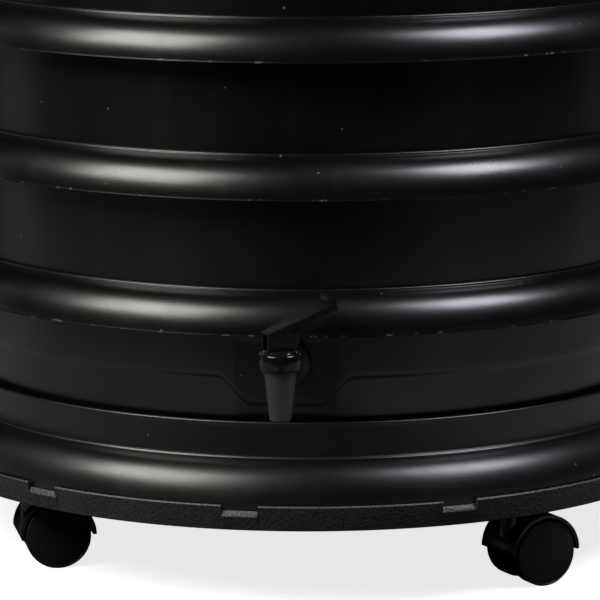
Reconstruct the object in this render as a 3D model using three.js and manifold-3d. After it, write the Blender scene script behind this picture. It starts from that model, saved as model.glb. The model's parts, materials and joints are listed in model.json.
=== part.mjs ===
// An upright drum composter on casters: stacked ring sections with rolled rims, standing in a
// castered base pan, with a lever tap in the lowest section and a vented, hinged lid.
// Millimetres, +Z up. The origin is on the floor, on the drum's axis. The tap faces -Y.

import * as THREE from 'three';
import * as BufferGeometryUtils from 'three/addons/utils/BufferGeometryUtils.js';
import Module from 'manifold-3d';

const wasm = await Module();
wasm.setup();

// Driving dimensions.
const GAP = 0.3; // clearance between touching pieces
const WALL = 3; // wall of the moulded shells
const ROUND = 28; // facets round the large shells
const SMALL = 16; // facets round the small turned pieces

const DRUM_R = 280; // flat bands of the drum
const RIM_R = 308; // trimmed edge of each rolled rim
const RIM_H = 31; // a rim's top to its trimmed edge
const RIM_PITCH = 99.3; // from one rim to the next
const RINGS = 6; // ring sections above the sump
const SUMP_TOP = 239.2; // top of the sump's rim
const SPIGOT = 11.4; // how deep a section stands in the one below
const CREASE_Z = 173; // where the sump's wall turns in
const FOOT_R = 270; // foot of the sump, below the crease
const FOOT_Z = 106.3;
const SUMP_FLOOR_Z = 165;

const RING_Z = 64.6; // underside of the base ring
const RING_TOP = 84.1;
const RING_TOP_R = 315.4;
const RING_FOOT_R = 309.9;
const NOTCHES = 12;
const NOTCH_W = 27;
const LIP_H = 4.5; // the ring's lip round the pan's foot, which the notches cut through
const LIP_W = 3;
const FLANGE_Z = RING_TOP - LIP_H;
const PAN_FLOOR_Z = 100;
const PAN_RIB_R = 311; // trimmed edge of the pan's rib
const PAN_RIB_TOP = 114.3;
const PAN_RIM_Z = 141;
const PAN_RIM_R = 287.7;

const BASE_TURN = THREE.MathUtils.degToRad(-5.8); // base against the tap
const CASTERS = 4;
const CASTER_R = 262; // caster stems from the axis
const TRAIL = 18; // stem to axle
const WHEEL_R = 25.5;
const WHEEL_W = 13;
const WHEEL_GAP = 32; // between the twin wheels' middle planes
const WHEEL_FACETS = 20;
const AXLE_R = 4;
const AXLE_Z = WHEEL_R * Math.cos(Math.PI / WHEEL_FACETS); // a facet rests on the floor
const HOOD_R = 29.5;
const STEM_R = 5;
const SOCKET_Z = 69.7; // foot of the sockets that hold the stems
const SOCKET_TOP = 90;
// Which way each caster trails, in degrees from +X.
const CASTER_TRAILS = [15, 33, 160, 250];

const TAP_R = 336; // the spout's axis from the drum's axis
const TAP_FLAT = 277.5; // flat pad behind the tap
const PAD_DEPTH = 11.5; // its boss inside the wall
const TAP_Z = 184; // the shank's axis
const SPOUT_Z = 152.4; // the spout's mouth; the next three are above it
const BONNET_Z = 36;
const BONNET_TOP = 53;
const LEVER_PIN_Z = 61;
const BONNET_R = 16;
const LEVER_TURN = THREE.MathUtils.degToRad(25);
const LEVER_RISE = THREE.MathUtils.degToRad(22.3);
const PIN_R = 1.5;

const LID_R = 312;
const LID_LAND_Z = 866;
const VENT_Z = 893;
const VENT_SLOTS = 6;
const HINGE_Y = 332;
const HINGE_R = 8;
const TOP = 905;

const rimTop = (k) => SUMP_TOP + RIM_PITCH * k;
const degrees = THREE.MathUtils.degToRad;

// Finishes.
const finish = (color, roughness, metalness = 0) =>
  new THREE.MeshStandardMaterial({ color, roughness, metalness });
const shellBlack = () => finish(0x0d0d0e, 0.32);
const baseBlack = () => finish(0x1a1a1b, 0.62);
const glossBlack = () => finish(0x0b0b0c, 0.16);
const tapGrey = () => finish(0x2a2b2d, 0.55);
const casterBlack = () => finish(0x0c0c0d, 0.4);
const treadBlack = () => finish(0x151515, 0.7);
const rubber = () => finish(0x1b1b1b, 0.8);
const steel = () => finish(0xb4b6b8, 0.3, 1);
const natural = () => finish(0xd9d7cf, 0.5);

// Solids.
function closed(geometry) {
  const bare = geometry.clone();
  bare.deleteAttribute('normal');
  bare.deleteAttribute('uv');
  const merged = BufferGeometryUtils.mergeVertices(bare, 1e-3);
  const index = merged.index.array;
  const spot = merged.attributes.position;
  const kept = [];
  const corner = [new THREE.Vector3(), new THREE.Vector3(), new THREE.Vector3()];
  let volume = 0;
  for (let i = 0; i < index.length; i += 3) {
    const [a, b, c] = [index[i], index[i + 1], index[i + 2]];
    if (a === b || b === c || c === a) continue;
    kept.push(a, b, c);
    corner.forEach((v, n) => v.fromBufferAttribute(spot, kept[kept.length - 3 + n]));
    volume += corner[0].dot(corner[1].clone().cross(corner[2]));
  }
  if (volume < 0) {
    for (let i = 0; i < kept.length; i += 3) [kept[i], kept[i + 1]] = [kept[i + 1], kept[i]];
  }
  merged.setIndex(kept);
  return merged;
}

function toManifold(geometry) {
  const shape = closed(geometry);
  return new wasm.Manifold(new wasm.Mesh({
    numProp: 3,
    vertProperties: new Float32Array(shape.attributes.position.array),
    triVerts: new Uint32Array(shape.index.array),
  }));
}

function fromManifold(manifold) {
  const mesh = manifold.getMesh();
  const geometry = new THREE.BufferGeometry();
  geometry.setAttribute('position', new THREE.BufferAttribute(mesh.vertProperties, 3));
  geometry.setIndex([...mesh.triVerts]);
  return geometry;
}

function join(...shapes) {
  return fromManifold(shapes.map(toManifold).reduce((whole, more) => whole.add(more)));
}

function cut(shape, ...tools) {
  return fromManifold(tools.map(toManifold).reduce((left, tool) => left.subtract(tool), toManifold(shape)));
}

// A profile of [radius, z] pairs turned about +Z.
function turned(profile, facets = ROUND, start = 0) {
  const points = profile.map(([r, z]) => new THREE.Vector2(r, z));
  const first = points[0];
  const last = points[points.length - 1];
  if (first.x > 0 || last.x > 0) points.push(first.clone());
  const geometry = new THREE.LatheGeometry(points, facets, start);
  return closed(geometry.rotateX(Math.PI / 2));
}

function block(x0, x1, y0, y1, z0, z1) {
  const geometry = new THREE.BoxGeometry(x1 - x0, y1 - y0, z1 - z0);
  return geometry.translate((x0 + x1) / 2, (y0 + y1) / 2, (z0 + z1) / 2);
}

// A rod along +Z from z0 to z1.
function rod(radius, z0, z1, facets = SMALL) {
  return turned([[0, z0], [radius, z0], [radius, z1], [0, z1]], facets);
}

// The same along +Y, and along +X.
function rodY(radius, y0, y1, z, facets = SMALL) {
  return rod(radius, y0, y1, facets).rotateX(-Math.PI / 2).translate(0, 0, z);
}
function rodX(radius, x0, x1, y, z, facets = SMALL) {
  return rod(radius, x0, x1, facets).rotateY(Math.PI / 2).translate(0, y, z);
}

// An outline of [x, z] pairs with a thickness from y0 to y1.
function plate(outline, y0, y1) {
  const shape = new THREE.Shape(outline.map(([x, z]) => new THREE.Vector2(x, z)));
  const geometry = new THREE.ExtrudeGeometry(shape, { depth: y1 - y0, bevelEnabled: false });
  return geometry.rotateX(Math.PI / 2).translate(0, y1, 0);
}

// A section with a few flats, for what is swept along a curve.
function ellipse(halfX, halfY, sides) {
  return new THREE.Shape(Array.from({ length: sides }, (_, i) => {
    const a = (2 * Math.PI * i) / sides;
    return new THREE.Vector2(halfX * Math.cos(a), halfY * Math.sin(a));
  }));
}

// A sector of a ring lying flat, from z0 to z1.
function sector(inner, outer, middle, half, z0, z1) {
  const steps = 2;
  const outline = [];
  for (let i = 0; i <= steps; i += 1) {
    const a = middle - half + (2 * half * i) / steps;
    outline.push(new THREE.Vector2(outer * Math.cos(a), outer * Math.sin(a)));
  }
  for (let i = steps; i >= 0; i -= 1) {
    const a = middle - half + (2 * half * i) / steps;
    outline.push(new THREE.Vector2(inner * Math.cos(a), inner * Math.sin(a)));
  }
  const options = { depth: z1 - z0, bevelEnabled: false };
  return new THREE.ExtrudeGeometry(new THREE.Shape(outline), options).translate(0, 0, z0);
}

const composter = new THREE.Group();
composter.name = 'composter';

function add(parent, name, geometry, material) {
  const mesh = new THREE.Mesh(geometry, material);
  mesh.name = name;
  parent.add(mesh);
  return mesh;
}

// The rolled rim at the top of a section, from the band up and over to the seat of the next one.
function rim(top) {
  return [
    [DRUM_R, top - 16],
    [DRUM_R + 3.6, top - 12.4],
    [DRUM_R + 3.6, top - 4.5],
    [RIM_R - 6, top - 15],
    [RIM_R - WALL, top - RIM_H],
    [RIM_R, top - RIM_H],
    [RIM_R - 3.2, top - 14],
    [RIM_R - 14, top - 3.2],
    [DRUM_R + 0.4, top],
    [DRUM_R + 0.4, top - SPIGOT - GAP],
    [DRUM_R - WALL, top - SPIGOT - GAP],
  ];
}

function addSections() {
  for (let k = 1; k <= RINGS; k += 1) {
    const foot = rimTop(k - 1) - SPIGOT;
    const profile = [[DRUM_R - WALL, foot], [DRUM_R, foot], ...rim(rimTop(k))];
    add(composter, `ring_${k}`, turned(profile), shellBlack());
  }
}

const BOSS_R = 15.5; // socket under the sump's floor, for the pivot
const BOSS_BORE = 12.3;

function addSump() {
  const underside = SUMP_FLOOR_Z - WALL;
  const profile = [
    [0, SUMP_FLOOR_Z],
    [0, underside],
    [BOSS_BORE, underside],
    [BOSS_BORE, FOOT_Z + 2],
    [BOSS_R, FOOT_Z + 2],
    [BOSS_R, underside],
    [FOOT_R - 4, underside],
    [FOOT_R - WALL, FOOT_Z],
    [FOOT_R, FOOT_Z],
    [FOOT_R + 2, PAN_RIM_Z + 9],
    [DRUM_R, CREASE_Z],
    ...rim(SUMP_TOP),
    [DRUM_R - WALL, CREASE_Z + 2],
    [FOOT_R + 1.5, SUMP_FLOOR_Z + 2],
  ];
  const shell = turned(profile);
  // The pad behind the tap: a flat face whose lower end hangs below the crease as a U.
  const padSide = [[48, 178], [46, 171], [40, 162], [27, 155], [12, 152]];
  const outline = [...padSide, ...padSide.map(([x, z]) => [-x, z]).reverse()];
  const pad = plate(outline, -TAP_FLAT - 1, -TAP_FLAT + PAD_DEPTH);
  const padTop = block(-44, 44, -TAP_FLAT - 1, -TAP_FLAT + PAD_DEPTH, 176, 205);
  const flat = block(-60, 60, -TAP_FLAT - 20, -TAP_FLAT, 150, SUMP_TOP - RIM_H - 4);
  const hole = rodY(9, -TAP_FLAT - 30, -TAP_FLAT + 30, TAP_Z);
  add(composter, 'sump', cut(join(shell, pad, padTop), flat, hole), shellBlack());
}

function addGrate() {
  const z1 = 204;
  const z0 = 199;
  const disc = rod(264, z0, z1, ROUND);
  const holes = [];
  for (let i = 0; i < 12; i += 1) {
    holes.push(sector(60, 252, degrees(30 * i + 15), degrees(12.5), z0 - 1, z1 + 1));
  }
  const legs = [];
  for (let i = 0; i < 6; i += 1) {
    const leg = rod(8, SUMP_FLOOR_Z + 2.4, z0 + 1, 8).translate(235, 0, 0);
    legs.push(leg.rotateZ(degrees(60 * i)));
  }
  add(composter, 'drain_grate', join(cut(disc, ...holes), ...legs), shellBlack());
}

function addBase() {
  const base = new THREE.Group();
  base.rotation.z = BASE_TURN;
  composter.add(base);
  const ringProfile = [
    [RING_FOOT_R - 4, RING_Z],
    [RING_FOOT_R, RING_Z],
    [RING_TOP_R, RING_TOP],
    [RING_TOP_R - LIP_W, RING_TOP],
    [RING_TOP_R - LIP_W, FLANGE_Z],
    [236, FLANGE_Z],
    [236, FLANGE_Z - 5],
    [RING_TOP_R - 7, FLANGE_Z - 5],
  ];
  const cutters = [];
  for (let i = 0; i < NOTCHES; i += 1) {
    const notch = block(-NOTCH_W / 2, NOTCH_W / 2, -RING_TOP_R - 9, -PAN_RIB_R, FLANGE_Z, RING_TOP + 5);
    cutters.push(notch.rotateZ(degrees(30 * i)));
  }
  for (let i = 0; i < CASTERS; i += 1) {
    const bore = rod(9, FLANGE_Z - 9, FLANGE_Z + 3, 12).translate(0, -CASTER_R, 0);
    cutters.push(bore.rotateZ(degrees(90 * i - 45)));
  }
  const ring = cut(turned(ringProfile, 36), ...cutters);
  add(base, 'base_ring', ring, baseBlack());

  const foot = FLANGE_Z + GAP;
  const floor = PAN_FLOOR_Z;
  const panProfile = [
    [8.4, floor],
    [8.4, floor - WALL],
    [272, floor - WALL],
    [282, PAN_RIB_TOP - 7],
    [RIM_R - 4, PAN_RIB_TOP - 15],
    [PAN_RIB_R - WALL, foot],
    [PAN_RIB_R, foot],
    [PAN_RIB_R - 3, PAN_RIB_TOP - 13],
    [PAN_RIB_R - 14, PAN_RIB_TOP - 3],
    [DRUM_R + 3.7, PAN_RIB_TOP],
    [PAN_RIM_R, PAN_RIM_Z],
    [PAN_RIM_R - WALL, PAN_RIM_Z],
    [DRUM_R, PAN_RIB_TOP],
    [275, floor + 2],
    [FOOT_R, floor],
  ];
  add(base, 'base_pan', turned(panProfile), shellBlack());
  const glide = floor + GAP;
  add(base, 'glide_ring', turned([[248, glide], [268, glide], [268, FOOT_Z - GAP], [248, FOOT_Z - GAP]]), natural());

  const stud = turned([
    [0, 89.5], [8, 89.5], [8, glide], [14, glide], [14, glide + 2.5], [8, glide + 2.5], [8, 150], [0, 150],
  ], SMALL);
  add(base, 'pivot_stud', stud, steel());
  const nutTop = floor - WALL - GAP;
  add(base, 'pivot_nut', turned([[9.6, 90], [14, 90], [14, nutTop], [9.6, nutTop]], 6), steel());

  const fitted = FLANGE_Z - 5 - GAP;
  const socket = [
    [5.4, SOCKET_Z], [12, SOCKET_Z], [12, fitted], [8.7, fitted], [8.7, SOCKET_TOP], [5.4, SOCKET_TOP],
  ];
  for (let i = 0; i < CASTERS; i += 1) {
    const turn = degrees(90 * i - 45);
    const mesh = add(base, `caster_socket_${i + 1}`, turned(socket, SMALL), steel());
    mesh.position.set(CASTER_R * Math.sin(turn), -CASTER_R * Math.cos(turn), 0);
  }
}

function addBush() {
  const bush = [
    [8.3, 103.6], [14.5, 103.6], [14.5, FOOT_Z + 1.4], [12, FOOT_Z + 1.4], [12, 158], [8.3, 158],
  ];
  add(composter, 'pivot_bush', turned(bush, SMALL), natural());
}

// A twin-wheel caster about its stem, trailing along +X.
function addCaster(number, x, y, trail) {
  const caster = new THREE.Group();
  caster.position.set(x, y, 0);
  caster.rotation.z = trail;
  composter.add(caster);
  const name = `caster_${number}`;

  const arc = (radius, steps, from, to) => Array.from({ length: steps + 1 }, (_, i) => {
    const a = degrees(from + ((to - from) * i) / steps);
    return [TRAIL + radius * Math.cos(a), AXLE_Z + radius * Math.sin(a)];
  });
  const cover = plate([...arc(HOOD_R, 12, -4, 184), ...arc(WHEEL_R + 1.1, 12, 184, -4)], -22.5, 22.5);
  const web = plate([...arc(WHEEL_R + 1.6, 10, -12, 192), [TRAIL - 7, AXLE_Z - 9], [TRAIL + 7, AXLE_Z - 9]], -8.8, 8.8);
  const boss = rod(8.8, 34, 58, SMALL);
  const bore = rod(STEM_R + 0.2, 40, 70, 12);
  const axleBore = rodY(AXLE_R + GAP, -30, 30, AXLE_Z, 12).translate(TRAIL, 0, 0);
  add(caster, `${name}_hood`, cut(join(cover, web, boss), bore, axleBore), casterBlack());

  const collarTop = SOCKET_Z - GAP;
  const collarFoot = collarTop - 3.6;
  const stem = [
    [0, 41], [STEM_R, 41], [STEM_R, collarFoot], [9, collarFoot],
    [9, collarTop], [STEM_R, collarTop], [STEM_R, SOCKET_TOP - 2], [0, SOCKET_TOP - 2],
  ];
  add(caster, `${name}_stem`, turned(stem, 12), steel());

  const axle = add(caster, `${name}_axle`, rodY(AXLE_R, -21.5, 21.5, 0, 12), steel());
  axle.position.set(TRAIL, 0, AXLE_Z);
  const half = WHEEL_W / 2;
  const wheel = [
    [AXLE_R + GAP, -half], [WHEEL_R - 1.5, -half], [WHEEL_R, 1.5 - half],
    [WHEEL_R, half - 1.5], [WHEEL_R - 1.5, half], [AXLE_R + GAP, half],
  ];
  for (const [side, where] of [['a', -1], ['b', 1]]) {
    const geometry = turned(wheel, WHEEL_FACETS, Math.PI / WHEEL_FACETS).rotateX(-Math.PI / 2);
    const mesh = add(caster, `${name}_wheel_${side}`, geometry, treadBlack());
    mesh.position.set(TRAIL, (where * WHEEL_GAP) / 2, AXLE_Z);
  }
}

function addCasters() {
  for (let i = 0; i < CASTERS; i += 1) {
    const turn = BASE_TURN + degrees(90 * i - 45);
    addCaster(i + 1, CASTER_R * Math.sin(turn), -CASTER_R * Math.cos(turn), degrees(CASTER_TRAILS[i]));
  }
}

// The tap about its spout's axis, with heights from the spout's mouth.
function addTap() {
  const tap = new THREE.Group();
  tap.position.set(0, -TAP_R, SPOUT_Z);
  composter.add(tap);
  const wallY = TAP_R - TAP_FLAT; // the pad's face
  const shankZ = TAP_Z - SPOUT_Z;
  const neckZ = shankZ - 2.5;
  const mouthR = 7.75;
  const bodyR = 12; // the spout's top
  const chamberR = 9.6;
  const seatZ = 19;

  const spout = turned([
    [5.8, 0], [mouthR, 0], [bodyR, BONNET_Z], [chamberR, BONNET_Z],
    [chamberR, seatZ + 4], [4.6, seatZ], [4.6, seatZ - 10],
  ], SMALL);
  const neck = rodY(7, chamberR + 0.5, wallY - 5, neckZ, 12);
  const flange = rodY(18.5, wallY - 6.2, wallY - 2.9, shankZ);
  const shank = rodY(8.6, wallY - 4, wallY + 22, shankZ);
  const bore = rodY(4, 6, wallY + 30, neckZ, 12);
  add(tap, 'tap_body', cut(join(spout, neck, flange, shank), bore), tapGrey());

  const washer = turned([[9, GAP], [18.3, GAP], [18.3, 2.6], [9, 2.6]], SMALL);
  const gasket = add(tap, 'tap_gasket', washer, rubber());
  gasket.rotation.x = Math.PI / 2;
  gasket.position.set(0, wallY, shankZ);
  const hex = turned([[10.2, 0], [13.2, 0], [13.2, 8], [10.2, 8]], 6);
  const nut = add(tap, 'tap_nut', hex, tapGrey());
  nut.rotation.x = -Math.PI / 2;
  nut.position.set(0, wallY + PAD_DEPTH + GAP, shankZ);

  const bonnetFoot = BONNET_Z + GAP;
  const roof = BONNET_TOP - 4;
  const bonnet = [
    [9.2, bonnetFoot], [BONNET_R, bonnetFoot], [BONNET_R, BONNET_TOP - 3],
    [BONNET_R - 2.5, BONNET_TOP], [3.8, BONNET_TOP], [3.8, roof], [9.2, roof],
  ];
  add(tap, 'tap_bonnet', turned(bonnet, 24), glossBlack());

  const collarZ = seatZ + 10; // the stem's collar, under the spring
  const springFoot = collarZ + 3.4;
  const springH = roof - 1.2 - springFoot;
  class Coil extends THREE.Curve {
    getPoint(t) {
      const a = 2 * Math.PI * 4 * t;
      return new THREE.Vector3(6 * Math.cos(a), 6 * Math.sin(a), springFoot + springH * t);
    }
  }
  const options = { steps: 32, extrudePath: new Coil() };
  add(tap, 'tap_spring', closed(new THREE.ExtrudeGeometry(ellipse(0.7, 0.7, 5), options)), steel());

  const handle = new THREE.Group();
  handle.rotation.z = LEVER_TURN;
  tap.add(handle);
  const stem = turned([
    [0, seatZ + 2.8], [3, seatZ + 2.8], [3, collarZ], [8.6, collarZ], [8.6, collarZ + 2],
    [3.2, collarZ + 2], [3.2, LEVER_PIN_Z + 4], [0, LEVER_PIN_Z + 4],
  ], 12);
  const pinHole = rodY(PIN_R + 0.2, -10, 10, LEVER_PIN_Z, 10);
  add(handle, 'tap_stem', cut(stem, pinHole), natural());
  const seal = [
    [0, seatZ + 0.8], [5, seatZ + 0.8], [8.2, seatZ + 3.4], [8.2, seatZ + 6.5],
    [3.3, seatZ + 6.5], [3.3, seatZ + 2.5], [0, seatZ + 2.5],
  ];
  add(handle, 'tap_seal', turned(seal, SMALL), rubber());
  add(handle, 'tap_pin', rodY(PIN_R, -6.4, 6.4, LEVER_PIN_Z, 8), steel());

  const armStart = -12;
  const armZ = LEVER_PIN_Z + 4.5;
  const armLength = 54;
  const rootHalf = 6;
  const tipHalf = 11.5;
  const rise = (s) => armZ + (s - armStart) * Math.tan(LEVER_RISE);
  const flat = (shape, z0, z1) => new THREE.ExtrudeGeometry(
    new THREE.Shape(shape.map(([x, y]) => new THREE.Vector2(x, y))),
    { depth: z1 - z0, bevelEnabled: false },
  ).translate(0, 0, z0);
  const trapezoid = (x0, half0, x1, half1) => [[x0, -half0], [x1, -half1], [x1, half1], [x0, half0]];
  const arm = flat(trapezoid(0, rootHalf, armLength, tipHalf), -6, 0);
  const pocket = flat(trapezoid(6, rootHalf - 1.2, armLength - 2.5, tipHalf - 2), -8, -2.5);
  const lip = block(armLength - 2.5, armLength, 1 - tipHalf, tipHalf - 1, -1, 4);
  const paddle = cut(join(arm, lip), pocket).rotateY(-LEVER_RISE).translate(armStart, 0, armZ);
  const cheekFoot = BONNET_TOP + GAP;
  const cheekOutline = [
    [armStart + 0.5, cheekFoot], [8, cheekFoot], [12, cheekFoot + 4],
    [12, rise(12) - 3], [armStart + 0.5, rise(armStart) - 3],
  ];
  const cheeks = [[-5.8, -3.8], [3.8, 5.8]].map(([a, b]) => plate(cheekOutline, a, b));
  const headRoom = block(-8, 8, -3.8, 3.8, LEVER_PIN_Z - 10, LEVER_PIN_Z + 6.5);
  const lever = cut(join(paddle, ...cheeks), pinHole, headRoom);
  add(handle, 'tap_lever', lever, glossBlack());
}

function addLid() {
  const seat = rimTop(RINGS) + 0.1 + GAP;
  const vents = (turn, z0, z1) => Array.from({ length: VENT_SLOTS }, (_, i) => (
    sector(18, 46, degrees((360 / VENT_SLOTS) * i + turn), degrees(13), z0, z1)
  ));
  const profile = [
    [3.4, VENT_Z], [58, VENT_Z], [70, VENT_Z - 9], [150, LID_LAND_Z + 8], [180, LID_LAND_Z],
    [262, LID_LAND_Z], [296, LID_LAND_Z - 8], [309, LID_LAND_Z - 18], [LID_R, LID_LAND_Z - 26],
    [LID_R, 822], [LID_R - WALL, 822], [LID_R - WALL, LID_LAND_Z - 27],
    [286, LID_LAND_Z - 9], [285.5, seat], [281.7, seat], [281.7, LID_LAND_Z - 8],
    [260, LID_LAND_Z - 3.2], [180, LID_LAND_Z - 3.2], [148, LID_LAND_Z + 4.8],
    [66, VENT_Z - 12], [56, VENT_Z - WALL], [3.4, VENT_Z - WALL],
  ];
  const hingeZ = 836;
  const lugs = [];
  for (const side of [-1, 1]) {
    const [x0, x1] = side < 0 ? [-37, -25.5] : [25.5, 37];
    lugs.push(block(x0, x1, LID_R - 3.4, HINGE_Y, 828, 843.5));
    lugs.push(rodX(HINGE_R, x0, x1, HINGE_Y, hingeZ, 12));
  }
  const hingeBore = rodX(3.4, -60, 60, HINGE_Y, hingeZ, 12);
  const shell = cut(join(turned(profile), ...lugs), hingeBore, ...vents(0, VENT_Z - 20, VENT_Z + 20));
  add(composter, 'lid', shell, shellBlack());

  const legs = join(
    block(-25, 25, DRUM_R + 0.8, DRUM_R + 6, 757, 796),
    block(-25, 25, DRUM_R + 0.8, HINGE_Y + 2, 791, 796),
    block(-25, 25, HINGE_Y - 3, HINGE_Y + 2, 791, hingeZ),
    rodX(HINGE_R, -25, 25, HINGE_Y, hingeZ, 12),
  );
  add(composter, 'hinge_bracket', cut(legs, hingeBore), baseBlack());
  const pin = join(
    rodX(3, -39, 39, HINGE_Y, hingeZ, 12),
    rodX(5, -39.5, -37.4, HINGE_Y, hingeZ, 12),
    rodX(5, 37.4, 39.5, HINGE_Y, hingeZ, 12),
  );
  add(composter, 'hinge_pin', pin, steel());

  class Bail extends THREE.Curve {
    getPoint(t) {
      const a = Math.PI * t;
      return new THREE.Vector3(-52 * Math.cos(a), -225, LID_LAND_Z + 0.5 + 32 * Math.sin(a));
    }
  }
  const options = { steps: 12, extrudePath: new Bail() };
  add(composter, 'lid_handle', closed(new THREE.ExtrudeGeometry(ellipse(6, 8, 10), options)), shellBlack());

  const discZ = VENT_Z + GAP;
  const disc = turned([
    [3.4, discZ], [54, discZ], [54, discZ + 3.5], [15, discZ + 3.5], [15, TOP],
    [9, TOP], [9, discZ + 5], [3.4, discZ + 5],
  ], 20);
  add(composter, 'vent_disc', cut(disc, ...vents(30, discZ - 5, discZ + 5)), shellBlack());
  const rivet = turned([
    [0, 884], [7, 884], [7, VENT_Z - WALL - GAP], [3, VENT_Z - WALL - GAP], [3, discZ + 5.3],
    [7.5, discZ + 5.3], [7.5, discZ + 8], [0, discZ + 8],
  ], 12);
  add(composter, 'vent_rivet', rivet, natural());
}

addBase();
addCasters();
addBush();
addSump();
addSections();
addGrate();
addTap();
addLid();

export default composter;
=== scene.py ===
import json
import math

import bpy
import numpy as np
from mathutils import Matrix, Vector


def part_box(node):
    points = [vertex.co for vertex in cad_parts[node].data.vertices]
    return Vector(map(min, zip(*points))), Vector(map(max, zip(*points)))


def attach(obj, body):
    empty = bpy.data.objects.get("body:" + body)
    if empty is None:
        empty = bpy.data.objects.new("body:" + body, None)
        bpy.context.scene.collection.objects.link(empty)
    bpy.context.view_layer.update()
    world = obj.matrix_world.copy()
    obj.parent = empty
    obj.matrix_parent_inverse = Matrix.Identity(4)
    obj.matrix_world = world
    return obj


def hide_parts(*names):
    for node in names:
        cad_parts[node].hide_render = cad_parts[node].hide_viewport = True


# An upright drum composter on casters: fine shells, tap, casters, lid and finishes around its frame.

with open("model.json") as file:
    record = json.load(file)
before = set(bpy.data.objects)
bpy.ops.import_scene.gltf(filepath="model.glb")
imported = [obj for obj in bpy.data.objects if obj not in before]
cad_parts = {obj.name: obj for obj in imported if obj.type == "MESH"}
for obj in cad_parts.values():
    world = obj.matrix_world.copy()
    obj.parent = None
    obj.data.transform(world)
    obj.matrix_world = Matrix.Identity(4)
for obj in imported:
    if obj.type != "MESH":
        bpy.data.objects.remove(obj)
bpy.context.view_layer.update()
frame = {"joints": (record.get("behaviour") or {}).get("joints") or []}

# Outlines are drawn in millimetres; a finished mesh is in metres.
MM = 0.001


def corners(node):
    """A node's lowest and highest corners in millimetres."""
    low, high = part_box(node)
    return low / MM, high / MM


# Driving sizes, from the frame.
RIM_R = corners("ring_1")[1].x
BAND_R = RIM_R - 28
RIM_H = 31
WALL = 3
SPIGOT = 11.4
GAP = 0.3
RIM_TOPS = [corners("sump")[1].z] + [corners(f"ring_{k}")[1].z for k in range(1, 7)]
CREASE_Z = 173
PAD_FLAT = 277.5
FOOT_R = 270
RING_LOW, RING_HIGH = corners("base_ring")
RING_R = RING_HIGH.x
SOCKET_FOOT = corners("caster_socket_1")[0].z
BASE_TURN = -5.8  # degrees from the drum's front to the middle notch of the castered ring
FINE = 256
SMALL = 64
RIVET_HOLE = 3.4
SLOTS = 6
SLOT_SHAPE = (18, 46, 13)  # a vent slot's inner and outer radius and half its angle
SPREAD = 60  # degrees between neighbours in a six


# Shader and geometry nodes.

class Number:
    """A shader socket that takes part in sums: each operator adds a Math node."""

    def __init__(self, nodes, socket):
        self.nodes = nodes
        self.socket = socket

    def math(self, operation, *others, swapped=False):
        values = [self, *others]
        if swapped:
            values.reverse()
        node = self.nodes.add("ShaderNodeMath", {"operation": operation}, dict(enumerate(values)))
        return Number(self.nodes, node.outputs[0])

    def __add__(self, other):
        return self.math("ADD", other)

    def __radd__(self, other):
        return self.math("ADD", other)

    def __sub__(self, other):
        return self.math("SUBTRACT", other)

    def __rsub__(self, other):
        return self.math("SUBTRACT", other, swapped=True)

    def __mul__(self, other):
        return self.math("MULTIPLY", other)

    def __rmul__(self, other):
        return self.math("MULTIPLY", other)

    def __truediv__(self, other):
        return self.math("DIVIDE", other)

    def __rtruediv__(self, other):
        return self.math("DIVIDE", other, swapped=True)

    def __gt__(self, other):
        return self.math("GREATER_THAN", other)

    def __lt__(self, other):
        return self.math("LESS_THAN", other)

    def ramp(self, low, high):
        """0 below low, 1 above high, and smooth between them."""
        sockets = {"Value": self, "From Min": low, "From Max": high}
        settings = {"interpolation_type": "SMOOTHSTEP"}
        node = self.nodes.add("ShaderNodeMapRange", settings, sockets)
        return Number(self.nodes, node.outputs["Result"])


class Nodes:
    """Adds nodes to a tree: a type, then its settings, then what its sockets take."""

    def __init__(self, tree):
        self.tree = tree
        tree.nodes.clear()

    def add(self, kind, settings=None, sockets=None):
        node = self.tree.nodes.new(kind)
        for key, value in (settings or {}).items():
            setattr(node, key, value)
        for key, value in (sockets or {}).items():
            self.feed(node.inputs[key], value)
        return node

    def feed(self, socket, value):
        if isinstance(value, Number):
            self.tree.links.new(value.socket, socket)
        elif isinstance(value, bpy.types.NodeSocket):
            self.tree.links.new(value, socket)
        else:
            socket.default_value = value


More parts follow.
